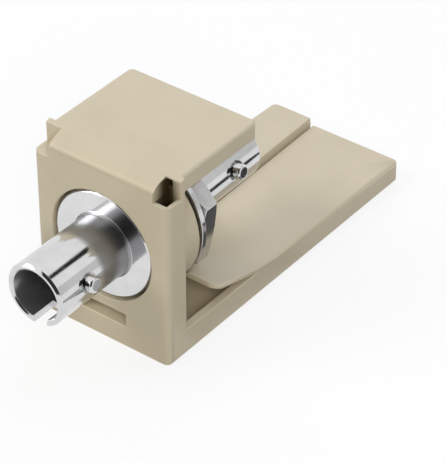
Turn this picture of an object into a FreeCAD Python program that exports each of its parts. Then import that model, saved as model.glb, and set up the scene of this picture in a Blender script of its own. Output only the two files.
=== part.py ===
import FreeCAD, Part
import math
import os
from FreeCAD import Vector

# ST fibre adapter in a snap-in module housing, in millimetres.
# The pieces are drawn with the front plate's outer face on Y = 0, +Y backward along the adapter,
# +X to the right seen from the front, and the base resting on Z = 0. They are then moved
# together along Y, so that the origin lies under the middle of the whole part.

# Housing: front plate, nose and hood
plate_width = 17.0
plate_thickness = 2.75
plate_corner_radius = 0.9
nose_foot = 20.35
nose_round_height = 0.6
nose_round_depth = 0.7
hood_top = 21.75
hood_thickness = 2.0
hood_back = 14.8
hood_left_inset = 0.6
hood_right_inset = 0.3
hood_corner_radius = 0.7
hood_edge_radius = 0.35
ear_width = 1.9
ear_top = 19.4
ear_depth = 2.2
pocket_wall = 0.5
pocket_floor = 16.5
pocket_undercut = 2.0
slit_width = 0.8
slit_floor = 13.2
slit_roof = 0.45
slit_end = 5.6

# Housing: round boss and the finger slot under the flange
boss_diameter = 14.4
boss_length = 4.45
boss_chamfer = 0.6
slot_width = 5.6
slot_height = 1.45
slot_centre = 3.25

# Housing: base plate with its forked tongue and left rail
base_length = 40.6
base_far_height = 2.55
base_corner_radius = 0.7
base_edge_break = 0.35
base_foot_radius = 0.5
wall_top = 3.05
wall_thickness = 1.0
floor_thickness = 1.0
tongue_front = 7.65
tongue_front_height = 5.55
tongue_thickness = 0.65
tongue_corner_radius = 1.2
ramp_end = 16.5
ramp_end_height = 3.1
ramp_blend = 3.0
crease_front = 3.6
crease_back = 4.9
crease_rise = 0.25
rail_rise = 0.8
rail_draft = 0.1
rail_edge_front = 2.0
rail_edge_back = 3.5
groove_width = 0.3
groove_depth = 0.45

# Adapter: turned bodies
axis_height = 11.4
adapter_turn = 10.0
barrel_diameter = 7.0
barrel_wall = 0.7
rim_chamfer = 0.25
mouth_chamfer = 0.2
front_reach = 10.1
rear_reach = 10.2
keyway_width = 1.9
keyway_length = 3.2
flange_diameter = 12.2
flange_thickness = 1.6
flange_chamfer = 0.2
flange_sink = 0.25
root_radius = 0.25
thread_diameter = 9.5
thread_chamfer = 0.4
thread_tail = 1.4
spigot_wall = 0.5

# Adapter: bayonet pins
pin_diameter = 1.7
pin_reach = 4.45
pin_setback = 4.2
pin_chamfer = 0.25
pin_recess_diameter = 2.2
pin_recess_depth = 0.35

# Adapter: washer and nut
washer_diameter = 14.3
washer_thickness = 0.65
washer_teeth = 12
tooth_share = 0.55
tooth_length = 1.1
nut_across_flats = 12.7
nut_thickness = 2.4
nut_chamfer = 0.35
nut_turn = 20.0

# Adapter: split sleeve and its holder halves
sleeve_bore = 2.5
sleeve_wall = 0.35
sleeve_length = 11.4
sleeve_slit = 0.5
holder_half_length = 3.0
holder_nose_wall = 0.35
holder_lip = 0.7
ferrule_clearance = 0.2

# Fits, all on the radius or on one side
flange_clearance = 0.2
shank_clearance = 0.15
thread_clearance = 0.05
press_clearance = 0.02
holder_clearance = 0.05
sleeve_clearance = 0.05
nut_scoop_clearance = 0.25

# Places along the adapter, front to back
half_width = plate_width / 2
front_rim = -front_reach
flange_back = flange_sink + flange_thickness
boss_back = plate_thickness + boss_length
washer_back = boss_back + washer_thickness
nut_back = washer_back + nut_thickness
shank_end = nut_back + thread_tail
rear_rim = shank_end + rear_reach
sleeve_middle = (front_rim + rear_rim) / 2
front_shoulder = sleeve_middle - holder_half_length
spigot_front = sleeve_middle + holder_half_length
sleeve_seat = sleeve_length / 2 + sleeve_clearance
nose_reach = sleeve_seat + holder_lip
front_web = sleeve_middle - nose_reach
rear_web = sleeve_middle + nose_reach

# Radii
barrel_radius = barrel_diameter / 2
bore_radius = barrel_radius - barrel_wall
spigot_radius = bore_radius + spigot_wall
socket_radius = spigot_radius + press_clearance
shank_radius = thread_diameter / 2
flange_radius = flange_diameter / 2
sleeve_radius = sleeve_bore / 2 + sleeve_wall
holder_bore = sleeve_radius + sleeve_clearance
nose_radius = holder_bore + holder_nose_wall
web_bore = nose_radius + holder_clearance
nut_corner_radius = nut_across_flats / 2 / math.cos(math.radians(30))

AXIS_POINT = Vector(0, 0, axis_height)
BACKWARD = Vector(0, 1, 0)
TO_ORIGIN = Vector(0, -(front_rim + base_length) / 2, 0)

# How far a cut runs past the face that it opens, and how near two places count as the same
CUT_PAST = 1.0
SAME_PLACE = 1e-6


def block(x0, x1, y0, y1, z0, z1):
    """A plain box between two corners."""
    return Part.makeBox(x1 - x0, y1 - y0, z1 - z0, Vector(x0, y0, z0))


def side_profile(points, x0, x1):
    """Extrude a (y, z) outline from x0 to x1."""
    corners = [Vector(x0, y, z) for y, z in points]
    face = Part.Face(Part.makePolygon(corners + corners[:1]))
    return face.extrude(Vector(x1 - x0, 0, 0))


def rod(radius, y0, y1):
    """A cylinder on the adapter's axis from y0 to y1."""
    return Part.makeCylinder(radius, y1 - y0, Vector(0, y0, axis_height), BACKWARD)


def turned(points):
    """Revolve a closed (radius, y) outline about the adapter's axis."""
    corners = [Vector(r, y, axis_height) for r, y in points]
    face = Part.Face(Part.makePolygon(corners + corners[:1]))
    return face.revolve(AXIS_POINT, BACKWARD, 360)


def turn(shape, angle):
    """A copy turned about the adapter's axis, counter-clockwise seen from the front."""
    copy = shape.copy()
    copy.rotate(AXIS_POINT, BACKWARD, -angle)
    return copy


# Housing

ramp_slope = (tongue_front_height - ramp_end_height) / (ramp_end - tongue_front)
fall_slope = (ramp_end_height - base_far_height) / (base_length - ramp_end)


def ramp_height(y):
    """Straight line of the tongue's ramp at depth y."""
    return tongue_front_height - ramp_slope * (y - tongue_front)


def fall_height(y):
    """Straight line of the long gentle fall to the far end."""
    return base_far_height + fall_slope * (base_length - y)


def deck_height(y):
    """Height of the deck's right edge: the ramp, a parabola that blends, then the long fall."""
    into_blend = y - (ramp_end - ramp_blend)
    if into_blend <= 0:
        return ramp_height(y)
    if into_blend >= 2 * ramp_blend:
        return fall_height(y)
    return ramp_height(y) + (ramp_slope - fall_slope) * into_blend ** 2 / (4 * ramp_blend)


def along_base(y):
    """Share of the way from the tongue's front to the far end at depth y."""
    return (y - tongue_front) / (base_length - tongue_front)


def crease_lift(y):
    """How far the crease stands above the right edge: most at the tongue, nothing at the far end."""
    return crease_rise * (1 - along_base(y))


def cross_section(points, y):
    """A closed (x, z) outline across the housing at depth y."""
    corners = [Vector(x, y, z) for x, z in points]
    return Part.makePolygon(corners + corners[:1])


def deck_section(y):
    """Outline of the deck at depth y, with its right edge broken."""
    crease = crease_front + along_base(y) * (crease_back - crease_front)
    edge = deck_height(y)
    ridge = edge + crease_lift(y)
    return cross_section([(-half_width, 0), (half_width, 0), (half_width, edge - base_edge_break),
                          (half_width - base_edge_break, edge), (crease, ridge), (-half_width, ridge)], y)


def rail_step(y):
    """Where the rail's steep step stands at depth y: its foot's x, and the heights of its foot and top."""
    rail_edge = rail_edge_front + along_base(y) * (rail_edge_back - rail_edge_front)
    foot = fall_height(y) + crease_lift(y)
    return rail_draft - rail_edge, foot, foot + rail_rise


def rail_section(y):
    """Outline of the raised left rail at depth y: a flat top, then a steep step down."""
    x, foot, top = rail_step(y)
    return cross_section([(-half_width, 0), (x, 0), (x, foot), (x - rail_draft, top), (-half_width, top)], y)


def groove_section(y):
    """Outline of the groove along the foot of the rail's step at depth y."""
    x, foot, top = rail_step(y)
    floor = foot - groove_depth
    return cross_section([(x, floor), (x + groove_width, floor), (x + groove_width, top), (x, top)], y)


def footprint(front, front_radius):
    """A slab from y = front to the far end of the base, its upright edges and long lower edges rounded."""
    slab = block(-half_width, half_width, front, base_length, 0, hood_top)
    skid = block(-half_width, half_width, front, base_length, 0, hood_top)

    def side_edges(solid, y, z):
        middles = [Vector(x, y, z) for x in (-half_width, half_width)]
        return [e for e in solid.Edges if any(e.CenterOfMass.isEqual(m, SAME_PLACE) for m in middles)]

    slab = slab.makeFillet(front_radius, side_edges(slab, front, hood_top / 2))
    slab = slab.makeFillet(base_corner_radius, side_edges(slab, base_length, hood_top / 2))
    skid = skid.makeFillet(base_foot_radius, side_edges(skid, (front + base_length) / 2, 0))
    return slab.common(skid)


def front_plate():
    """Front plate with its sloping nose."""
    profile = [(0, 0), (0, nose_foot), (nose_round_depth, nose_foot + nose_round_height),
               (plate_thickness, hood_top), (plate_thickness, 0)]
    return side_profile(profile, -half_width, half_width)


def hood():
    """The flat hood behind the nose, set in a little from the plate's sides."""
    left = hood_left_inset - half_width
    right = half_width - hood_right_inset
    slab = block(left, right, plate_thickness, hood_back, hood_top - hood_thickness, hood_top)
    back_uprights = [e for e in slab.Edges if all(abs(v.Y - hood_back) < SAME_PLACE for v in e.Vertexes)
                     and abs(e.CenterOfMass.x - (left + right) / 2) > SAME_PLACE]
    slab = slab.makeFillet(hood_corner_radius, back_uprights)
    rim = [e for e in slab.Edges if all(abs(v.Z - hood_top) < SAME_PLACE for v in e.Vertexes)
           and e.CenterOfMass.y > plate_thickness + SAME_PLACE]
    return slab.makeFillet(hood_edge_radius, rim)


def ear_notch(side):
    """The open notch above an ear of the plate, on the right (1) or left (-1)."""
    inner = half_width - ear_width
    low, high = sorted((side * inner, side * (half_width + CUT_PAST)))
    return block(low, high, -CUT_PAST, ear_depth, ear_top, hood_top + CUT_PAST)


def right_pocket():
    """The pocket in the right ear, in under the nose, and its slit downward and back into the hood."""
    inner = half_width - ear_width
    outer = half_width - pocket_wall
    pocket = block(inner - pocket_undercut, outer, pocket_wall, ear_depth, pocket_floor, ear_top)
    behind = (ear_depth + plate_thickness) / 2
    hood_floor = hood_top - hood_thickness + pocket_wall
    roof = hood_top - slit_roof
    slit_profile = [(pocket_wall, slit_floor), (behind, slit_floor), (behind, hood_floor),
                    (slit_end, hood_floor), (slit_end, roof), (ear_depth, roof), (ear_depth, ear_top),
                    (pocket_wall, ear_top)]
    return pocket.fuse(side_profile(slit_profile, inner, inner + slit_width))


def base_plate():
    """Floor and side walls, the deck with its tongue over a hollow, and the left rail with its groove."""
    gap_end = tongue_front + (tongue_front_height - tongue_thickness - wall_top) / ramp_slope
    tray = block(-half_width, half_width, 0, gap_end, 0, wall_top)
    blend = [ramp_end + ramp_blend * step / 2 for step in (-2, -1, 0, 1, 2)]
    deck = Part.makeLoft([deck_section(y) for y in [tongue_front] + blend + [base_length]], True, True)
    deck = deck.common(footprint(tongue_front, tongue_corner_radius))
    rail = Part.makeLoft([rail_section(tongue_front), rail_section(base_length)], True, True)
    groove = Part.makeLoft([groove_section(ramp_end), groove_section(base_length + CUT_PAST)], True, True)

    gap_mouth = ramp_height(plate_thickness) - tongue_thickness
    hollow_profile = [(plate_thickness, floor_thickness), (gap_end, floor_thickness), (gap_end, wall_top),
                      (plate_thickness, gap_mouth)]
    side_gap_profile = [(plate_thickness, wall_top), (gap_end, wall_top), (plate_thickness, gap_mouth)]
    inside = half_width - wall_thickness
    hollow = side_profile(hollow_profile, -inside, inside)
    side_gap = side_profile(side_gap_profile, -half_width - CUT_PAST, half_width + CUT_PAST)

    return tray.fuse([deck, rail]).cut([hollow, side_gap, groove])


def housing():
    """The moulded housing with every hole the adapter and the panel need."""
    boss_radius = boss_diameter / 2
    boss_rim = boss_back - boss_chamfer
    boss = turned([(0, plate_thickness), (boss_radius, plate_thickness), (boss_radius, boss_rim),
                   (boss_radius - boss_chamfer, boss_back), (0, boss_back)])
    outline = footprint(0, plate_corner_radius)
    solid = front_plate().fuse(base_plate()).common(outline).fuse([hood(), boss])
    flange_seat = rod(flange_radius + flange_clearance, -CUT_PAST, flange_back)
    shank_hole = rod(shank_radius + shank_clearance, 0, boss_back + CUT_PAST)
    nut_scoop = rod(nut_corner_radius + nut_scoop_clearance, boss_back, nut_back + nut_scoop_clearance)
    slot = block(-slot_width / 2, slot_width / 2, -CUT_PAST, plate_thickness + CUT_PAST,
                 slot_centre - slot_height / 2, slot_centre + slot_height / 2)
    cuts = [flange_seat, shank_hole, nut_scoop, slot, ear_notch(1), ear_notch(-1), right_pocket()]
    return solid.cut(cuts).removeSplitter()


# Adapter

def barrel_cuts(rim, direction):
    """The keyway and two recessed pin holes of a barrel with its rim at y = rim; direction points inward."""
    pin_y = rim + direction * pin_setback
    reach = barrel_radius + CUT_PAST
    across = Vector(1, 0, 0)
    hole_radius = pin_diameter / 2 + press_clearance
    hole = Part.makeCylinder(hole_radius, 2 * reach, Vector(-reach, pin_y, axis_height), across)
    recess_floor = barrel_radius - pin_recess_depth
    recess = Part.makeCylinder(pin_recess_diameter / 2, reach - recess_floor,
                               Vector(recess_floor, pin_y, axis_height), across)
    near, far = sorted((rim - direction * CUT_PAST, rim + direction * keyway_length))
    keyway = block(-keyway_width / 2, keyway_width / 2, near, far, axis_height - reach, axis_height)
    return [turn(hole, adapter_turn), turn(recess, adapter_turn), turn(recess, adapter_turn + 180),
            turn(keyway, adapter_turn)]


def front_body():
    """Front barrel, flange and threaded shank, turned in one piece."""
    outline = [(bore_radius, front_rim + mouth_chamfer), (bore_radius + mouth_chamfer, front_rim),
               (barrel_radius - rim_chamfer, front_rim), (barrel_radius, front_rim + rim_chamfer),
               (barrel_radius, flange_sink - root_radius), (barrel_radius + root_radius, flange_sink),
               (flange_radius - flange_chamfer, flange_sink), (flange_radius, flange_sink + flange_chamfer),
               (flange_radius, flange_back), (shank_radius, flange_back),
               (shank_radius, shank_end - thread_chamfer), (shank_radius - thread_chamfer, shank_end),
               (socket_radius, shank_end), (socket_radius, front_shoulder), (web_bore, front_shoulder),
               (web_bore, front_web), (bore_radius, front_web)]
    return turned(outline).cut(barrel_cuts(front_rim, 1))


def rear_barrel():
    """Rear barrel with the spigot that presses into the shank."""
    outline = [(web_bore, spigot_front), (spigot_radius, spigot_front), (spigot_radius, shank_end),
               (barrel_radius, shank_end), (barrel_radius, rear_rim - rim_chamfer),
               (barrel_radius - rim_chamfer, rear_rim), (bore_radius + mouth_chamfer, rear_rim),
               (bore_radius, rear_rim - mouth_chamfer), (bore_radius, rear_web), (web_bore, rear_web)]
    return turned(outline).cut(barrel_cuts(rear_rim, -1))


def bayonet_pin(pin_y, side):
    """One pin standing out of a barrel on its right (1) or left (-1), its tip chamfered."""
    radius = pin_diameter / 2
    seat = bore_radius + press_clearance
    stem = Part.makeCylinder(radius, pin_reach - seat, Vector(seat, pin_y, axis_height), Vector(1, 0, 0))
    tip = [e for e in stem.Edges if all(abs(v.X - pin_reach) < SAME_PLACE for v in e.Vertexes)]
    stem = stem.makeChamfer(pin_chamfer, tip)
    return turn(stem, adapter_turn if side > 0 else adapter_turn + 180)


def lock_washer():
    """Flat ring with teeth pointing inward to the thread."""
    tip = shank_radius + thread_clearance
    root = tip + tooth_length
    outer = washer_diameter / 2
    ring = rod(outer, boss_back, washer_back).cut(rod(root, boss_back, washer_back))
    half = math.pi * root / washer_teeth * tooth_share
    tooth = block(0, (root + outer) / 2, boss_back, washer_back, axis_height - half, axis_height + half)
    teeth = [turn(tooth, 360 / washer_teeth * index) for index in range(washer_teeth)]
    return ring.fuse(teeth).cut(rod(tip, boss_back, washer_back)).removeSplitter()


def panel_nut():
    """Hexagon nut with both rims chamfered, a corner standing nut_turn above the right."""
    right = Vector(nut_corner_radius, washer_back, axis_height)
    corners = [turn(Part.Vertex(right), 60 * k + nut_turn).Point for k in range(6)]
    hexagon = Part.Face(Part.makePolygon(corners + corners[:1])).extrude(Vector(0, nut_thickness, 0))
    flat = nut_across_flats / 2
    rounded = turned([(0, washer_back), (flat, washer_back), (nut_corner_radius, washer_back + nut_chamfer),
                      (nut_corner_radius, nut_back - nut_chamfer), (flat, nut_back), (0, nut_back)])
    return hexagon.common(rounded).cut(rod(shank_radius + thread_clearance, washer_back, nut_back))


def alignment_sleeve():
    """Thin sleeve split along its length."""
    start = sleeve_middle - sleeve_length / 2
    end = sleeve_middle + sleeve_length / 2
    tube = rod(sleeve_radius, start, end).cut(rod(sleeve_bore / 2, start, end))
    slit = block(-sleeve_slit / 2, sleeve_slit / 2, start, end, axis_height, axis_height + barrel_radius)
    return tube.cut(slit)


def sleeve_holder(direction):
    """One holder half, front (-1) or rear (1): a collar in the shank and a nose that ends in a lip."""
    collar_radius = spigot_radius - holder_clearance
    collar_end = sleeve_middle + direction * holder_half_length
    sleeve_end = sleeve_middle + direction * sleeve_seat
    nose_end = sleeve_middle + direction * nose_reach
    lip_radius = sleeve_bore / 2 + ferrule_clearance
    outline = [(holder_bore, sleeve_middle), (collar_radius, sleeve_middle), (collar_radius, collar_end),
               (nose_radius, collar_end), (nose_radius, nose_end), (lip_radius, nose_end),
               (lip_radius, sleeve_end), (holder_bore, sleeve_end)]
    return turned(outline)


pieces = {
    "housing": housing(),
    "front_body": front_body(),
    "rear_barrel": rear_barrel(),
    "front_right_pin": bayonet_pin(front_rim + pin_setback, 1),
    "front_left_pin": bayonet_pin(front_rim + pin_setback, -1),
    "rear_right_pin": bayonet_pin(rear_rim - pin_setback, 1),
    "rear_left_pin": bayonet_pin(rear_rim - pin_setback, -1),
    "lock_washer": lock_washer(),
    "panel_nut": panel_nut(),
    "alignment_sleeve": alignment_sleeve(),
    "front_sleeve_holder": sleeve_holder(-1),
    "rear_sleeve_holder": sleeve_holder(1),
}

os.makedirs("parts", exist_ok=True)
for name, shape in pieces.items():
    shape.translate(TO_ORIGIN)
    shape.exportStep(f"parts/{name}.step")
    print(name, shape.isValid(), len(shape.Solids), round(shape.Volume, 2))
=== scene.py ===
import math

import bmesh
import bpy
from mathutils import Matrix, Vector


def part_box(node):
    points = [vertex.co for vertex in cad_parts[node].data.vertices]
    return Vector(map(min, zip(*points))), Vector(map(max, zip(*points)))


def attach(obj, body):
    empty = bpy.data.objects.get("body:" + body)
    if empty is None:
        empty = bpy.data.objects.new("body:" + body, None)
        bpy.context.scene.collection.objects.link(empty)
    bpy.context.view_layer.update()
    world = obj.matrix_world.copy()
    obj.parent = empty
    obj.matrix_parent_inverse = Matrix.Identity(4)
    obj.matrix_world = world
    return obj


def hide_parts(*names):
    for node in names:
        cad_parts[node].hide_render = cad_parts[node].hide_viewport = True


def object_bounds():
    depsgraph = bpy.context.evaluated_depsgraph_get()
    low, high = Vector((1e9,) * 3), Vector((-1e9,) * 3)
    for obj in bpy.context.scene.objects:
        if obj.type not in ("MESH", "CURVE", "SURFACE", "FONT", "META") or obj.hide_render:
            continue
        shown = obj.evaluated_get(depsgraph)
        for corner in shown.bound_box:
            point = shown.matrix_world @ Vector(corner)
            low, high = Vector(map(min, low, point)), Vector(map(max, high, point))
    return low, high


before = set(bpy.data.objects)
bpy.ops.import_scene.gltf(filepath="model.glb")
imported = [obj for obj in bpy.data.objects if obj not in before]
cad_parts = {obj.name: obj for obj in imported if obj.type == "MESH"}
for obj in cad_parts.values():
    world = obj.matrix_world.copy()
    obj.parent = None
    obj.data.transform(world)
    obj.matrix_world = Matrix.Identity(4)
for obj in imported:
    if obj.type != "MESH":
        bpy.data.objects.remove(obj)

cad_low, cad_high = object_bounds()

# Bayonet fibre adapter in its snap-in module housing, in metres, in the part's own frame:
# +Y runs backward along the adapter, +X is its right side and +Z is up.

mm = 0.001


def span(node):
    """Where a turned solid starts and ends along Y, and its largest radius."""
    low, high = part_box(node)
    return low.y, high.y, (high.x - low.x) / 2


# Places read from the solids
front_rim, shank_end, flange_radius = span("front_body")
spigot_front, rear_rim, barrel_radius = span("rear_barrel")
sleeve_start, sleeve_end, sleeve_radius = span("alignment_sleeve")
front_nose, sleeve_middle, collar_radius = span("front_sleeve_holder")
rear_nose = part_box("rear_sleeve_holder")[1].y
housing_low, housing_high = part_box("housing")
plate_face = housing_low.y
axis_height = (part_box("front_body")[0].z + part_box("front_body")[1].z) / 2
front_shoulder = 2 * sleeve_middle - spigot_front

# Turned bodies
bore_radius = 2.8 * mm
rim_chamfer = 0.25 * mm
mouth_chamfer = 0.2 * mm
flange_face = plate_face + 0.25 * mm
flange_back = flange_face + 1.6 * mm
flange_chamfer = 0.2 * mm
root_radius = 0.25 * mm
spigot_radius = 3.3 * mm
socket_radius = 3.32 * mm
web_bore = 2.05 * mm
turned_edge = 0.07 * mm
turn_segments = 224
crisp_angle = 35

# Keyway and bayonet pins, turned together a little about the axis
adapter_turn = math.radians(10)
keyway_width = 1.9 * mm
keyway_length = 3.2 * mm
pin_radius = 0.85 * mm
pin_hole_radius = 0.87 * mm
pin_recess_radius = 1.1 * mm
pin_recess_floor = 3.15 * mm
pin_seat = 2.82 * mm
pin_reach = 4.45 * mm
pin_setback = 4.2 * mm
pin_tip_round = 0.28 * mm
pin_tip_steps = 8
pin_segments = 64

# Thread of the shank
thread_crest = 4.75 * mm
thread_root = 4.27 * mm
thread_pitch = 0.794 * mm
thread_chamfer = 0.4 * mm
thread_points_per_turn = 72
thread_fades_per_turn = 3
thread_section_corners = 3

# Sleeve and holders
sleeve_bore = 1.25 * mm
sleeve_slit = 0.5 * mm
holder_bore = 1.65 * mm
holder_nose = 2.0 * mm
holder_lip = 1.45 * mm
holder_seat = 5.75 * mm

# Edge rounding of the moulded and pressed pieces: its width, and the angle past which an edge gets it.
# Past the flat angle, an edge is a crisp line in their shading.
edge_segments = 3
flat_angle = 52
housing_edge = 0.14 * mm
housing_sharp = 50
nut_edge = 0.09 * mm
nut_sharp = 20
washer_edge = 0.1 * mm
washer_sharp = 30

# Thin places of the housing, where its edges are rounded less
thin_share = 0.3
notch_rim = 0.1 * mm
ear_reach = 1.2 * mm
ear_back = 0.7 * mm
front_foot = 1.2 * mm
back_foot = 0.8 * mm
foot_height = 0.6 * mm

# Mesh limits: how near two points are one, how far two faces may turn and still be one flat,
# and how much of a side a rounded corner may take
weld = 1e-8
solid_weld = 1e-7
tiny_edge = 1e-9
flat_turn = 0.3
corner_room = 0.45

# Finishes that change along a turned piece: a rougher band by the flange with a painted dark reflection, and
# a satin bore
painted_reflection_band = 4.1 * mm
painted_reflection_fade = 0.5 * mm
painted_reflection_edge = 0.05 * mm
satin_radius = bore_radius + 0.05 * mm
satin_fade = 0.05 * mm

# Painted shade in the notch of the housing and its slit
notch_corner_x = housing_high.x - 1.9 * mm
notch_corner_y = plate_face + 2.2 * mm
notch_wall = notch_corner_x - 0.06 * mm
notch_wall_fade = 0.05 * mm
notch_side = notch_corner_x + 1.85 * mm
notch_back = notch_corner_y + 0.45 * mm
notch_top = housing_high.z - 0.35 * mm
notch_top_fade = 0.3 * mm
notch_ear = housing_low.z + 19.4 * mm
notch_floor = housing_low.z + 16.5 * mm
notch_shade = 2.3 * mm
notch_full_shade = 0.2 * mm
shade_fade = 0.1 * mm
slit_start = notch_corner_y + 0.2 * mm
slit_start_fade = 0.2 * mm
slit_floor = housing_low.z + 13.2 * mm
slit_wall = notch_corner_x + 0.8 * mm
slit_end = plate_face + 5.6 * mm
slit_margin = 0.15 * mm
hood_underside = housing_high.z - 2.0 * mm
hood_margin = 0.02 * mm


# Mesh helpers

def soften(outline, radius, steps=4):
    """Round each corner of a closed (radius, y) outline, as far as its two sides allow."""
    rounded = []
    for index, corner in enumerate(outline):
        corner = Vector(corner)
        to_last = Vector(outline[index - 1]) - corner
        to_next = Vector(outline[(index + 1) % len(outline)]) - corner
        room = corner_room * min(to_last.length, to_next.length)
        reach = min(radius / math.tan(to_last.angle(to_next) / 2), room)
        start = corner + to_last.normalized() * reach
        end = corner + to_next.normalized() * reach
        for step in range(steps + 1):
            share = step / steps
            rounded.append(start * (1 - share) ** 2 + corner * (2 * share * (1 - share)) + end * share ** 2)
    return rounded


def revolve(outline, segments):
    """Turn a closed (radius, y) outline about the adapter's axis."""
    bm = bmesh.new()
    rings = []
    for step in range(segments):
        angle = 2 * math.pi * step / segments
        across, up = math.cos(angle), math.sin(angle)
        rings.append([bm.verts.new((r * across, y, axis_height + r * up)) for r, y in outline])
    for here, there in zip(rings, rings[1:] + rings[:1]):
        for k in range(len(outline)):
            bm.faces.new((here[k - 1], here[k], there[k], there[k - 1]))
    bmesh.ops.remove_doubles(bm, verts=bm.verts, dist=weld)
    bmesh.ops.recalc_face_normals(bm, faces=bm.faces)
    return bm


def add_object(name, bm):
    """A new object in the scene from a bmesh."""
    mesh = bpy.data.meshes.new(name)
    bm.to_mesh(mesh)
    bm.free()
    piece = bpy.data.objects.new(name, mesh)
    bpy.context.scene.collection.objects.link(piece)
    return piece


def solid_copy(name, node):
    """A new object with a node's mesh, its loose triangles merged and its flat faces made whole."""
    bm = bmesh.new()
    bm.from_mesh(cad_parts[node].data)
    bmesh.ops.remove_doubles(bm, verts=bm.verts, dist=solid_weld)
    bmesh.ops.dissolve_limit(bm, angle_limit=math.radians(flat_turn), verts=bm.verts, edges=bm.edges)
    return add_object(name, bm)


def bake(piece):
    """Give the piece the mesh that its modifiers make, and drop the modifiers."""
    graph = bpy.context.evaluated_depsgraph_get()
    mesh = bpy.data.meshes.new_from_object(piece.evaluated_get(graph))
    piece.modifiers.clear()
    piece.data = mesh


def limits(piece):
    """The least and the most place of the piece's mesh on each axis."""
    places = list(zip(*(vertex.co for vertex in piece.data.vertices)))
    return [min(axis) for axis in places], [max(axis) for axis in places]


def break_edges(piece, width, angle, is_thin=None):
    """Round the edges that are sharper than the angle, less where the piece is thin, inside its box."""
    limit = math.radians(angle)
    bm = bmesh.new()
    bm.from_mesh(piece.data)
    weight = bm.edges.layers.float.new("bevel_weight_edge")
    for edge in bm.edges:
        if edge.is_convex and edge.calc_face_angle(0) > limit:
            thin = is_thin is not None and any(is_thin(vert.co) for vert in edge.verts)
            edge[weight] = thin_share if thin else 1
    bm.to_mesh(piece.data)
    bm.free()
    bevel = piece.modifiers.new("edges", "BEVEL")
    bevel.width = width
    bevel.segments = edge_segments
    bevel.limit_method = "WEIGHT"
    bevel.use_clamp_overlap = False
    bevel.miter_outer = "MITER_ARC"
    low, high = limits(piece)
    bake(piece)
    for vertex in piece.data.vertices:
        vertex.co = [min(max(place, least), most) for place, least, most in zip(vertex.co, low, high)]
    shade_flat(piece)


def shade(piece, angle):
    """Shade the piece smooth, with a crisp line at each edge that is sharper than the angle."""
    piece.data.polygons.foreach_set("use_smooth", [True] * len(piece.data.polygons))
    piece.data.set_sharp_from_angle(angle=math.radians(angle))


def shade_flat(piece):
    """Shade the piece so that its large faces stay flat and only the rounding between them turns."""
    shade(piece, flat_angle)
    bm = bmesh.new()
    bm.from_mesh(piece.data)
    soft = {edge for edge in bm.edges if edge.calc_face_angle(math.pi) < math.radians(flat_angle)}
    normals = [Vector() for _ in piece.data.loops]
    for vert in bm.verts:
        left = set(vert.link_faces)
        while left:
            group = [left.pop()]
            for face in group:
                for edge in face.edges:
                    if vert in edge.verts and edge in soft:
                        joined = left.intersection(edge.link_faces)
                        left -= joined
                        group.extend(joined)
            normal = sum((face.normal * face.calc_area() ** 2 for face in group), Vector()).normalized()
            for face in group:
                first = piece.data.polygons[face.index].loop_start
                corner = [loop.vert for loop in face.loops].index(vert)
                normals[first + corner] = normal
    bm.free()
    piece.data.normals_split_custom_set(normals)


def cut(piece, cutters):
    """Cut other objects out of the piece, and delete them."""
    for cutter in cutters:
        boolean = piece.modifiers.new("cut", "BOOLEAN")
        boolean.object = cutter
        boolean.operation = "DIFFERENCE"
        boolean.solver = "EXACT"
    bake(piece)
    for cutter in cutters:
        bpy.data.objects.remove(cutter)


def place(piece, finish, slot, *nodes):
    """Give the piece its finish, and let it stand for its solids."""
    piece.data.materials.clear()
    piece.data.materials.append(finish)
    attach(piece, "root")
    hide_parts(*nodes)


# Material helpers

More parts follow.
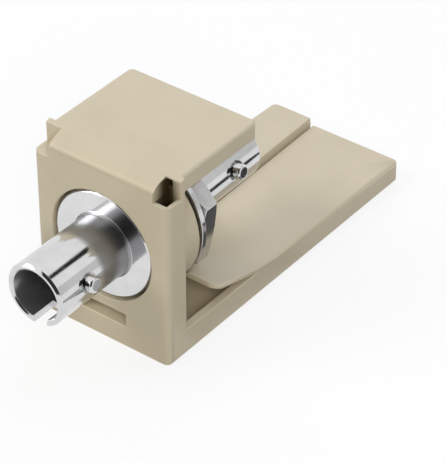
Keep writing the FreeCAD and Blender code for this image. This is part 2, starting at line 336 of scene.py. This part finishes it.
class Finish:
    """A new material, with short ways to add and join its nodes."""

    def __init__(self, name):
        self.material = bpy.data.materials.new(name)
        self.material.use_nodes = True
        self.tree = self.material.node_tree
        self.shader = self.tree.nodes["Principled BSDF"]
        self.place = self.add("ShaderNodeTexCoord").outputs["Object"]

    def add(self, kind, **values):
        """A new node, its inputs set by name with blanks for underscores."""
        node = self.tree.nodes.new(kind)
        for name, value in values.items():
            node.inputs[name.replace("_", " ")].default_value = value
        return node

    def join(self, source, target):
        """Link an output to an input."""
        self.tree.links.new(source, target)

    def noise(self, scale, detail, vector=None):
        """Noise of a given scale per metre, on the object's own place unless told otherwise."""
        node = self.add("ShaderNodeTexNoise", Scale=scale, Detail=detail)
        self.join(vector or self.place, node.inputs["Vector"])
        return node.outputs["Fac"]

    def tones(self, factor, dark, light, low=0.3, high=0.7):
        """Blend two colours by a factor into the base colour."""
        ramp = self.add("ShaderNodeValToRGB")
        ramp.color_ramp.elements[0].position = low
        ramp.color_ramp.elements[1].position = high
        ramp.color_ramp.elements[0].color = (*dark, 1)
        ramp.color_ramp.elements[1].color = (*light, 1)
        self.join(factor, ramp.inputs["Fac"])
        self.join(ramp.outputs["Color"], self.shader.inputs["Base Color"])
        return ramp.outputs["Color"]

    def roughness(self, factor, low, high):
        """Spread a factor over a range of roughness."""
        spread = self.add("ShaderNodeMapRange", To_Min=low, To_Max=high)
        self.join(factor, spread.inputs["Value"])
        self.join(spread.outputs["Result"], self.shader.inputs["Roughness"])
        return spread.outputs["Result"]

    def along(self, axis, vector=None):
        """One part of a vector, which is the object's own place unless told otherwise."""
        parts = self.add("ShaderNodeSeparateXYZ")
        self.join(vector or self.place, parts.inputs["Vector"])
        return parts.outputs[axis]

    def fade(self, value, none, full):
        """0 where the value is at none, 1 where it is at full, and smooth between."""
        ease = self.add("ShaderNodeMapRange", From_Min=none, From_Max=full)
        ease.interpolation_type = "SMOOTHSTEP"
        self.join(value, ease.inputs["Value"])
        return ease.outputs["Result"]

    def above(self, value, start, width=shade_fade):
        """0 up to the start, and 1 past a short fade."""
        return self.fade(value, start, start + width)

    def below(self, value, end, width=shade_fade):
        """1 up to a short fade, and 0 past the end."""
        return self.fade(value, end, end - width)

    def maths(self, operation, first, second):
        """Two factors worked together."""
        node = self.add("ShaderNodeMath")
        node.operation = operation
        self.join(first, node.inputs[0])
        self.join(second, node.inputs[1])
        return node.outputs[0]

    def all_of(self, *factors):
        """Several factors multiplied."""
        whole = factors[0]
        for factor in factors[1:]:
            whole = self.maths("MULTIPLY", whole, factor)
        return whole

    def either(self, first, second):
        """The larger of two factors."""
        return self.maths("MAXIMUM", first, second)

    def blend(self, tone, other, factor):
        """Blend the base colour's tone with one other colour by a factor."""
        mix = self.add("ShaderNodeMix")
        mix.data_type = "RGBA"
        self.join(factor, mix.inputs[0])
        self.join(tone, mix.inputs[6])
        mix.inputs[7].default_value = (*other, 1)
        self.join(mix.outputs[2], self.shader.inputs["Base Color"])

    def rougher(self, plain, other, factor):
        """Blend the roughness with one other value by a factor."""
        mix = self.add("ShaderNodeMix")
        self.join(factor, mix.inputs[0])
        self.join(plain, mix.inputs[2])
        mix.inputs[3].default_value = other
        self.join(mix.outputs[0], self.shader.inputs["Roughness"])
        return mix.outputs[0]

    def bump(self, height, strength, distance):
        """Raise the surface by a height."""
        node = self.add("ShaderNodeBump", Strength=strength, Distance=distance)
        self.join(height, node.inputs["Height"])
        self.join(node.outputs["Normal"], self.shader.inputs["Normal"])

    def vector_maths(self, operation, vector, fixed=None):
        """A vector worked by itself or with a fixed one: the node's outputs."""
        node = self.add("ShaderNodeVectorMath")
        node.operation = operation
        self.join(vector, node.inputs[0])
        if fixed is not None:
            node.inputs[1].default_value = fixed
        return node.outputs

    def around_axis(self):
        """The radius about the adapter's axis and the place along it, as a vector."""
        middle = self.add("ShaderNodeMapping", Location=(0, 0, -axis_height))
        self.join(self.place, middle.inputs["Vector"])
        across = self.vector_maths("MULTIPLY", middle.outputs["Vector"], (1, 0, 1))["Vector"]
        both = self.add("ShaderNodeCombineXYZ")
        self.join(self.vector_maths("LENGTH", across)["Value"], both.inputs["X"])
        self.join(self.along("Y"), both.inputs["Y"])
        return both.outputs["Vector"]


def moulded_beige():
    """Satin beige moulding: faint clouds of tone, a fine spark-eroded grain, and painted shade in the notch
    and its slit.
    """
    finish = Finish("moulded_beige")
    clouds = finish.noise(scale=160, detail=4)
    beige = finish.tones(clouds, dark=(0.575, 0.503, 0.362), light=(0.615, 0.538, 0.392))
    finish.roughness(finish.noise(scale=900, detail=3), low=0.40, high=0.52)
    finish.bump(finish.noise(scale=5200, detail=3), strength=0.16, distance=0.02 * mm)
    finish.shader.inputs["IOR"].default_value = 1.46

    # Masks for the painted shade in the notch: darkest at the notch's inner corner, and fading out towards
    # its rims
    across, back, height = finish.along("X"), finish.along("Y"), finish.along("Z")
    level = finish.vector_maths("MULTIPLY", finish.place, (1, 1, 0))["Vector"]
    from_corner = finish.vector_maths("DISTANCE", level, (notch_corner_x, notch_corner_y, 0))["Value"]
    near_corner = finish.fade(from_corner, notch_shade, notch_full_shade)
    right_of_wall = finish.above(across, notch_wall, notch_wall_fade)
    under_nose = finish.all_of(finish.above(height, notch_floor - shade_fade),
                               finish.below(height, notch_ear))
    painted_pocket_shade = finish.all_of(near_corner, finish.either(right_of_wall, under_nose),
                              finish.below(across, notch_side), finish.below(back, notch_back),
                              finish.above(height, slit_floor - shade_fade),
                              finish.below(height, notch_top, notch_top_fade))
    painted_slit_shade = finish.all_of(right_of_wall, finish.below(across, slit_wall + slit_margin),
                            finish.above(back, slit_start, slit_start_fade),
                            finish.below(back, slit_end + slit_margin),
                            finish.above(height, hood_underside + hood_margin),
                            finish.below(height, notch_top))
    # Painted shade: the notch's pocket and slit get a near-black colour in place of the shade that falls
    # there
    finish.blend(beige, other=(0.05, 0.033, 0.013), factor=finish.either(painted_pocket_shade, painted_slit_shade))
    return finish.material


def turned_nickel(name, painted_reflection_start=None, painted_reflection_end=None):
    """Bright nickel over turned metal: tool rings, slight stains, a satin bore, and, where asked, a rougher
    band with a painted dark reflection.
    """
    finish = Finish(name)
    rings = finish.around_axis()
    stains = finish.noise(scale=420, detail=3)
    nickel_tone = finish.tones(stains, dark=(0.64, 0.64, 0.645), light=(0.72, 0.72, 0.725))
    bright = finish.roughness(finish.noise(scale=700, detail=2), low=0.08, high=0.13)
    in_bore = finish.below(finish.along("X", rings), satin_radius + satin_fade, satin_fade)
    satin = finish.rougher(bright, other=0.33, factor=in_bore)
    finish.bump(finish.noise(scale=9000, detail=2, vector=rings), strength=0.05, distance=0.01 * mm)
    finish.shader.inputs["Metallic"].default_value = 1.0
    if painted_reflection_start is not None:
        along = finish.along("Y")
        after = finish.fade(along, painted_reflection_start - painted_reflection_fade, painted_reflection_start + painted_reflection_fade)
        before = finish.below(along, painted_reflection_end, painted_reflection_edge)
        dull_and_painted_reflection = finish.all_of(after, before)
        # The band is rougher, and its colour is darkened as a painted dark reflection of what lies near the
        # flange
        finish.blend(nickel_tone, other=(0.31, 0.313, 0.32), factor=dull_and_painted_reflection)
        finish.rougher(satin, other=0.3, factor=dull_and_painted_reflection)
    return finish.material


def pressed_nickel():
    """Nickel on the nut and the washer, a little duller than on the turned pieces."""
    finish = Finish("pressed_nickel")
    finish.tones(finish.noise(scale=600, detail=3), dark=(0.54, 0.535, 0.53), light=(0.66, 0.655, 0.65))
    finish.roughness(finish.noise(scale=1500, detail=3), low=0.08, high=0.16)
    finish.bump(finish.noise(scale=4000, detail=2), strength=0.1, distance=0.01 * mm)
    finish.shader.inputs["Metallic"].default_value = 1.0
    return finish.material


def spring_bronze():
    """Plain bronze of the split sleeve."""
    finish = Finish("spring_bronze")
    finish.tones(finish.noise(scale=500, detail=3), dark=(0.45, 0.27, 0.12), light=(0.56, 0.35, 0.17))
    finish.roughness(finish.noise(scale=1200, detail=2), low=0.25, high=0.4)
    rings = finish.around_axis()
    finish.bump(finish.noise(scale=9000, detail=2, vector=rings), strength=0.1, distance=0.01 * mm)
    finish.shader.inputs["Metallic"].default_value = 1.0
    return finish.material


def black_moulding():
    """Dark plastic of the sleeve holders."""
    finish = Finish("black_moulding")
    finish.tones(finish.noise(scale=300, detail=3), dark=(0.045, 0.043, 0.039), light=(0.065, 0.063, 0.057))
    finish.roughness(finish.noise(scale=1500, detail=2), low=0.4, high=0.55)
    finish.bump(finish.noise(scale=4000, detail=2), strength=0.15, distance=0.01 * mm)
    return finish.material


nickel = turned_nickel("turned_nickel")
nickel_with_painted_reflection_band = turned_nickel("nickel_with_painted_reflection_band", flange_face - painted_reflection_band, flange_face)


# Housing

def thin_moulding(spot):
    """Whether a spot of the housing is by the notch, behind an ear or at an end of the base's foot."""
    by_notch = (spot.x > notch_corner_x - notch_rim and spot.y < notch_corner_y + notch_rim
                and spot.z > axis_height)
    behind_ear = (abs(spot.x) > housing_high.x - ear_reach and spot.y < notch_corner_y + ear_back
                  and spot.z > housing_high.z - ear_reach)
    at_end = spot.y < plate_face + front_foot or spot.y > housing_high.y - back_foot
    return by_notch or behind_ear or (at_end and spot.z < foot_height)


housing = solid_copy("moulded_housing", "housing")
break_edges(housing, housing_edge, housing_sharp, is_thin=thin_moulding)
place(housing, moulded_beige(), "housing_plastic", "housing")


# Turned bodies

def turn_about_axis(bm, angle):
    """Turn a bmesh about the adapter's axis, counter-clockwise seen from the front."""
    middle = Vector((0, 0, axis_height))
    bmesh.ops.rotate(bm, cent=middle, matrix=Matrix.Rotation(-angle, 3, "Y"), verts=bm.verts)


def keyway_cutter(rim):
    """Box that cuts the keyway from the rim of a barrel."""
    bm = bmesh.new()
    bmesh.ops.create_cube(bm, size=1)
    bmesh.ops.scale(bm, vec=(keyway_width, 2 * keyway_length, 2 * barrel_radius), verts=bm.verts)
    bmesh.ops.translate(bm, vec=(0, rim, axis_height - barrel_radius), verts=bm.verts)
    turn_about_axis(bm, adapter_turn)
    return add_object("keyway_cutter", bm)


def pin_cutter(radius, start, pin_y, angle):
    """Rod that cuts a pin's hole or recess, from a place outward along X and then turned."""
    length = 2 * barrel_radius
    bm = bmesh.new()
    bmesh.ops.create_cone(bm, cap_ends=True, segments=pin_segments, radius1=radius, radius2=radius,
                          depth=length)
    bmesh.ops.rotate(bm, matrix=Matrix.Rotation(math.pi / 2, 3, "Y"), verts=bm.verts)
    bmesh.ops.translate(bm, vec=(start + length / 2, pin_y, axis_height), verts=bm.verts)
    turn_about_axis(bm, angle)
    return add_object("pin_cutter", bm)


def barrel_cutters(rim, pin_y):
    """What is cut from a barrel: its keyway, and a recessed hole for each of its two pins."""
    cutters = [keyway_cutter(rim)]
    for angle in (adapter_turn, adapter_turn + math.pi):
        cutters.append(pin_cutter(pin_hole_radius, 0, pin_y, angle))
        cutters.append(pin_cutter(pin_recess_radius, pin_recess_floor, pin_y, angle))
    return cutters


def thread_tree(finish):
    """Geometry Nodes: a V section swept along a helix, fading out at both ends."""
    tree = bpy.data.node_groups.new("shank_thread", "GeometryNodeTree")
    sockets = {}
    for name in ("Turns", "Pitch", "Crest Radius"):
        sockets[name] = tree.interface.new_socket(name, in_out="INPUT", socket_type="NodeSocketFloat")
    tree.interface.new_socket("Geometry", in_out="OUTPUT", socket_type="NodeSocketGeometry")

    def add(kind, **values):
        node = tree.nodes.new(kind)
        for name, value in values.items():
            node.inputs[name.replace("_", " ")].default_value = value
        return node

    def maths(operation, first, second):
        node = tree.nodes.new("ShaderNodeMath")
        node.operation = operation
        for socket, value in zip(node.inputs, (first, second)):
            if isinstance(value, (int, float)):
                socket.default_value = value
            else:
                tree.links.new(value, socket)
        return node.outputs[0]

    given = add("NodeGroupInput").outputs
    section_radius = maths("DIVIDE", given["Pitch"], math.sqrt(3))
    middle_radius = maths("SUBTRACT", given["Crest Radius"], section_radius)

    helix = add("GeometryNodeCurveSpiral", Resolution=thread_points_per_turn)
    tree.links.new(given["Turns"], helix.inputs["Rotations"])
    tree.links.new(middle_radius, helix.inputs["Start Radius"])
    tree.links.new(middle_radius, helix.inputs["End Radius"])
    tree.links.new(maths("MULTIPLY", given["Turns"], given["Pitch"]), helix.inputs["Height"])
    upright = add("GeometryNodeSetCurveNormal")
    upright.mode = "Z_UP"
    tree.links.new(helix.outputs["Curve"], upright.inputs["Curve"])

    along = add("GeometryNodeSplineParameter").outputs["Factor"]
    from_end = maths("MINIMUM", along, maths("SUBTRACT", 1, along))
    turns_from_end = maths("MULTIPLY", from_end, given["Turns"])
    fade = maths("MINIMUM", maths("MULTIPLY", turns_from_end, thread_fades_per_turn), 1)
    faded = add("GeometryNodeSetCurveRadius")
    tree.links.new(upright.outputs["Curve"], faded.inputs["Curve"])
    tree.links.new(fade, faded.inputs["Radius"])

    section = add("GeometryNodeCurvePrimitiveCircle", Resolution=thread_section_corners)
    tree.links.new(section_radius, section.inputs["Radius"])
    sweep = add("GeometryNodeCurveToMesh", Fill_Caps=True)
    tree.links.new(faded.outputs["Curve"], sweep.inputs["Curve"])
    tree.links.new(section.outputs["Curve"], sweep.inputs["Profile Curve"])
    tree.links.new(fade, sweep.inputs["Scale"])

    plain = add("GeometryNodeRealizeInstances")
    tree.links.new(sweep.outputs["Mesh"], plain.inputs["Geometry"])
    dressed = add("GeometryNodeSetMaterial", Material=finish)
    tree.links.new(plain.outputs["Geometry"], dressed.inputs["Geometry"])
    tree.links.new(dressed.outputs["Geometry"], add("NodeGroupOutput").inputs["Geometry"])
    return tree, sockets


def shank_thread(start, end):
    """The shank's thread between two places along Y, as a bmesh."""
    holder = add_object("shank_thread", bmesh.new())
    grower = holder.modifiers.new("thread", "NODES")
    tree, sockets = thread_tree(nickel_with_painted_reflection_band)
    grower.node_group = tree
    grower[sockets["Turns"].identifier] = (end - start) / thread_pitch
    grower[sockets["Pitch"].identifier] = thread_pitch
    grower[sockets["Crest Radius"].identifier] = thread_crest
    bake(holder)
    bm = bmesh.new()
    bm.from_mesh(holder.data)
    bpy.data.objects.remove(holder)
    backward = Matrix.Rotation(-math.pi / 2, 4, "X")
    bmesh.ops.transform(bm, matrix=Matrix.Translation((0, start, axis_height)) @ backward, verts=bm.verts)
    bmesh.ops.recalc_face_normals(bm, faces=bm.faces)
    return bm


def join_mesh(piece, bm):
    """Add a bmesh to the piece's own mesh."""
    extra = bpy.data.meshes.new("extra")
    bm.to_mesh(extra)
    bm.free()
    whole = bmesh.new()
    whole.from_mesh(piece.data)
    whole.from_mesh(extra)
    whole.to_mesh(piece.data)
    whole.free()
    bpy.data.meshes.remove(extra)


def front_body():
    """Front barrel, flange and threaded shank in one turned piece."""
    outline = [(bore_radius, front_rim + mouth_chamfer), (bore_radius + mouth_chamfer, front_rim),
               (barrel_radius - rim_chamfer, front_rim), (barrel_radius, front_rim + rim_chamfer),
               (barrel_radius, flange_face - root_radius), (barrel_radius + root_radius, flange_face),
               (flange_radius - flange_chamfer, flange_face), (flange_radius, flange_face + flange_chamfer),
               (flange_radius, flange_back), (thread_root, flange_back), (thread_root, shank_end),
               (socket_radius, shank_end), (socket_radius, front_shoulder), (web_bore, front_shoulder),
               (web_bore, front_nose), (bore_radius, front_nose)]
    piece = add_object("front_barrel_and_shank", revolve(soften(outline, turned_edge), turn_segments))
    cut(piece, barrel_cutters(front_rim, front_rim + pin_setback))
    join_mesh(piece, shank_thread(flange_back + thread_pitch, shank_end - thread_chamfer / 2))
    shade(piece, crisp_angle)
    place(piece, nickel_with_painted_reflection_band, "nickel_plate", "front_body")


def rear_barrel():
    """Rear barrel with the spigot that presses into the shank."""
    outline = [(web_bore, spigot_front), (spigot_radius, spigot_front), (spigot_radius, shank_end),
               (barrel_radius, shank_end), (barrel_radius, rear_rim - rim_chamfer),
               (barrel_radius - rim_chamfer, rear_rim), (bore_radius + mouth_chamfer, rear_rim),
               (bore_radius, rear_rim - mouth_chamfer), (bore_radius, rear_nose), (web_bore, rear_nose)]
    piece = add_object("rear_barrel_and_spigot", revolve(soften(outline, turned_edge), turn_segments))
    cut(piece, barrel_cutters(rear_rim, rear_rim - pin_setback))
    shade(piece, crisp_angle)
    place(piece, nickel, "nickel_plate", "rear_barrel")


def bayonet_pin(end, side, pin_y):
    """One bayonet pin with a rounded tip, standing out of a barrel on its right or left."""
    tip_middle = pin_reach - pin_tip_round
    arc = [math.radians(90 * step / pin_tip_steps) for step in range(pin_tip_steps + 1)]
    outline = [(0, pin_seat), (pin_radius, pin_seat)]
    outline += [(pin_radius - pin_tip_round + pin_tip_round * math.cos(a),
                 tip_middle + pin_tip_round * math.sin(a)) for a in arc]
    outline += [(0, pin_reach)]
    bm = bmesh.new()
    rings = []
    for step in range(pin_segments):
        angle = 2 * math.pi * step / pin_segments
        rings.append([bm.verts.new((y, r * math.cos(angle), r * math.sin(angle))) for r, y in outline])
    for here, there in zip(rings, rings[1:] + rings[:1]):
        for k in range(len(outline) - 1):
            bm.faces.new((here[k], here[k + 1], there[k + 1], there[k]))
    bmesh.ops.remove_doubles(bm, verts=bm.verts, dist=weld)
    bmesh.ops.dissolve_degenerate(bm, dist=tiny_edge, edges=bm.edges)
    bmesh.ops.recalc_face_normals(bm, faces=bm.faces)
    bmesh.ops.translate(bm, vec=(0, pin_y, axis_height), verts=bm.verts)
    turn_about_axis(bm, adapter_turn if side == "right" else adapter_turn + math.pi)
    name = f"{end}_{side}_pin"
    piece = add_object(name + "_turned", bm)
    shade(piece, crisp_angle)
    place(piece, nickel, "nickel_plate", name)


front_body()
rear_barrel()
for pin_side in ("right", "left"):
    bayonet_pin("front", pin_side, front_rim + pin_setback)
    bayonet_pin("rear", pin_side, rear_rim - pin_setback)


# Nut and washer

plated = pressed_nickel()
nut = solid_copy("hexagon_nut", "panel_nut")
break_edges(nut, nut_edge, nut_sharp)
place(nut, plated, "nickel_plate", "panel_nut")
washer = solid_copy("toothed_washer", "lock_washer")
break_edges(washer, washer_edge, washer_sharp)
place(washer, plated, "nickel_plate", "lock_washer")


# Sleeve and its holders

def split_sleeve():
    """Thin bronze sleeve, open along its top."""
    outline = [(sleeve_bore, sleeve_start), (sleeve_radius, sleeve_start), (sleeve_radius, sleeve_end),
               (sleeve_bore, sleeve_end)]
    piece = add_object("split_sleeve", revolve(soften(outline, turned_edge), turn_segments // 2))
    bm = bmesh.new()
    bmesh.ops.create_cube(bm, size=1)
    length = 2 * (sleeve_end - sleeve_start)
    bmesh.ops.scale(bm, vec=(sleeve_slit, length, 2 * sleeve_radius), verts=bm.verts)
    bmesh.ops.translate(bm, vec=(0, sleeve_middle, axis_height + sleeve_radius), verts=bm.verts)
    cut(piece, [add_object("slit_cutter", bm)])
    shade(piece, crisp_angle)
    place(piece, spring_bronze(), "sleeve_bronze", "alignment_sleeve")


def sleeve_holder(name, node, direction, finish):
    """One holder half: a collar in the shank and a nose that ends in a lip."""
    collar_end = sleeve_middle + direction * (spigot_front - sleeve_middle)
    seat = sleeve_middle + direction * holder_seat
    nose = rear_nose if direction > 0 else front_nose
    outline = [(holder_bore, sleeve_middle), (collar_radius, sleeve_middle), (collar_radius, collar_end),
               (holder_nose, collar_end), (holder_nose, nose), (holder_lip, nose), (holder_lip, seat),
               (holder_bore, seat)]
    piece = add_object(name, revolve(soften(outline, turned_edge), turn_segments // 2))
    shade(piece, crisp_angle)
    place(piece, finish, "holder_plastic", node)


split_sleeve()
holder_black = black_moulding()
sleeve_holder("front_holder_half", "front_sleeve_holder", -1, holder_black)
sleeve_holder("rear_holder_half", "rear_sleeve_holder", 1, holder_black)


# Stage: floor, light and camera

object_middle = (cad_low + cad_high) / 2
card_distance = 0.6
card_lift = 0.1 * mm


def white_to_the_eye(tree):
    """1 on camera, glossy and transmission rays, else 0."""
    path = tree.nodes.new("ShaderNodeLightPath")
    last = path.outputs["Is Camera Ray"]
    for ray in ("Is Glossy Ray", "Is Transmission Ray"):
        either = tree.nodes.new("ShaderNodeMath")
        either.operation = "MAXIMUM"
        tree.links.new(last, either.inputs[0])
        tree.links.new(path.outputs[ray], either.inputs[1])
        last = either.outputs[0]
    return last


def seen_and_lit(tree, seen, lit, output):
    """Show one shader to the eye and in metal, and light the object by another."""
    mix = tree.nodes.new("ShaderNodeMixShader")
    tree.links.new(white_to_the_eye(tree), mix.inputs["Fac"])
    tree.links.new(lit.outputs[0], mix.inputs[1])
    tree.links.new(seen.outputs[0], mix.inputs[2])
    tree.links.new(mix.outputs[0], tree.nodes.new(output).inputs["Surface"])


def bare_material(thing):
    """A new material on a stage thing, by the thing's name and with no nodes yet: its tree."""
    material = bpy.data.materials.new(thing.name)
    material.use_nodes = True
    material.node_tree.nodes.clear()
    thing.data.materials.append(material)
    return material.node_tree


def pale_floor(half, grey_tone, white_tone, glow_share):
    """A wide white floor that still takes the object's shadow, and lights the object as a grey one does."""
    bm = bmesh.new()
    bmesh.ops.create_grid(bm, x_segments=1, y_segments=1, size=half)
    bmesh.ops.translate(bm, vec=(0, 0, cad_low.z), verts=bm.verts)
    floor = add_object("pale_floor", bm)
    tree = bare_material(floor)
    grey = tree.nodes.new("ShaderNodeBsdfDiffuse")
    grey.inputs["Color"].default_value = (grey_tone, grey_tone, grey_tone, 1)
    white = tree.nodes.new("ShaderNodeBsdfDiffuse")
    white.inputs["Color"].default_value = (white_tone, white_tone, white_tone, 1)
    glow = tree.nodes.new("ShaderNodeEmission")
    seen = tree.nodes.new("ShaderNodeMixShader")
    seen.inputs["Fac"].default_value = glow_share
    tree.links.new(white.outputs[0], seen.inputs[1])
    tree.links.new(glow.outputs[0], seen.inputs[2])
    seen_and_lit(tree, seen, grey, "ShaderNodeOutputMaterial")


def white_world(strength):
    """White seen directly and in metal, and a plain even light on the object."""
    world = bpy.data.worlds.new("white_room")
    bpy.context.scene.world = world
    world.use_nodes = True
    tree = world.node_tree
    tree.nodes.clear()
    light = tree.nodes.new("ShaderNodeBackground")
    light.inputs["Strength"].default_value = strength
    seen = tree.nodes.new("ShaderNodeBackground")
    seen.inputs["Color"].default_value = (1, 1, 1, 1)
    seen_and_lit(tree, seen, light, "ShaderNodeOutputWorld")


def aim(thing, spot):
    """Turn a lamp, card or camera so that its -Z looks at a spot."""
    thing.rotation_euler = (spot - thing.location).to_track_quat("-Z", "Y").to_euler()


def soft_lamp(name, location, size, power, colour):
    """A square soft box aimed at the middle of the object, which doesn't show in the metal."""
    lamp = bpy.data.lights.new(name, "AREA")
    lamp.size = size
    lamp.energy = power
    lamp.color = colour
    box = bpy.data.objects.new(name, lamp)
    box.location = location
    box.visible_glossy = False
    bpy.context.scene.collection.objects.link(box)
    aim(box, object_middle)


def hanging_card(name, direction, half_angle, tone):
    """A card that hangs off the object in one direction and shows only in the metal."""
    half = card_distance * math.tan(math.radians(half_angle))
    bm = bmesh.new()
    bmesh.ops.create_grid(bm, x_segments=1, y_segments=1, size=half)
    card = add_object(name, bm)
    card.location = object_middle + Vector(direction).normalized() * card_distance
    aim(card, object_middle)
    only_in_metal(card, tone)


def floor_card(name, low, high, tone):
    """A card on the floor between two corners, which shows only in the metal."""
    bm = bmesh.new()
    bmesh.ops.create_grid(bm, x_segments=1, y_segments=1, size=0.5)
    card = add_object(name, bm)
    card.scale = (high[0] - low[0], high[1] - low[1], 1)
    card.location = ((low[0] + high[0]) / 2, (low[1] + high[1]) / 2, cad_low.z + card_lift)
    only_in_metal(card, tone)


def only_in_metal(card, tone):
    """Give a stage card its tone, 0 for black and 1 for plain white, and hide it from all but glossy rays."""
    tree = bare_material(card)
    glow = tree.nodes.new("ShaderNodeEmission")
    glow.inputs["Strength"].default_value = tone
    out = tree.nodes.new("ShaderNodeOutputMaterial")
    tree.links.new(glow.outputs[0], out.inputs["Surface"])
    card.visible_camera = False
    card.visible_diffuse = False
    card.visible_shadow = False
    card.visible_transmission = False


def photo_camera():
    """The camera at the photograph's place, worked out for an image of 446 by 463 pixels."""
    camera_place = Vector((126.80, -161.52, 157.70)) * mm
    camera_target = Vector((8.07, -5.97, 11.30)) * mm
    data = bpy.data.cameras.new("camera")
    data.sensor_width = 36
    data.lens = 190.63
    data.clip_start = 0.01
    data.clip_end = 20
    camera = bpy.data.objects.new("camera", data)
    camera.location = camera_place
    bpy.context.scene.collection.objects.link(camera)
    aim(camera, camera_target)
    bpy.context.scene.camera = camera


pale_floor(half=3.0, grey_tone=0.50, white_tone=0.95, glow_share=0.8)
white_world(strength=0.36)
soft_lamp("top_lamp", location=(0.05, 0.30, 0.60), size=0.60, power=1.35, colour=(0.88, 0.97, 1.28))
soft_lamp("front_lamp", location=(-0.28, -0.30, 0.36), size=0.26, power=1.0, colour=(1.0, 0.99, 0.95))
soft_lamp("fill_lamp", location=(0.38, -0.38, 0.38), size=0.25, power=1.8, colour=(1.0, 0.98, 0.90))
soft_lamp("back_lamp", location=(-0.40, 0.40, 0.30), size=0.40, power=0.9, colour=(1.0, 1.0, 1.0))
hanging_card("white_front_left", direction=(-0.70, -0.63, 0.33), half_angle=14, tone=6.0)
hanging_card("black_camera_side", direction=(0.58, -0.637, 0.506), half_angle=39, tone=0.035)
hanging_card("black_far_side", direction=(0.337, 0.593, 0.731), half_angle=9.5, tone=0.0)
hanging_card("grey_right_side", direction=(0.80, 0.59, 0.12), half_angle=16, tone=0.7)
# Painted shadow: a dark card on the floor beside the base stands in for the object's shadow there, as seen in
# the metal
floor_card("painted_floor_shadow_near", low=(9.2 * mm, -10 * mm), high=(20 * mm, 8 * mm), tone=0.10)
floor_card("grey_floor_right", low=(20 * mm, -10 * mm), high=(34 * mm, 12 * mm), tone=0.45)
floor_card("black_floor_back", low=(20 * mm, 12 * mm), high=(34 * mm, 34 * mm), tone=0.05)
photo_camera()

bpy.context.scene.view_settings.view_transform = "Standard"
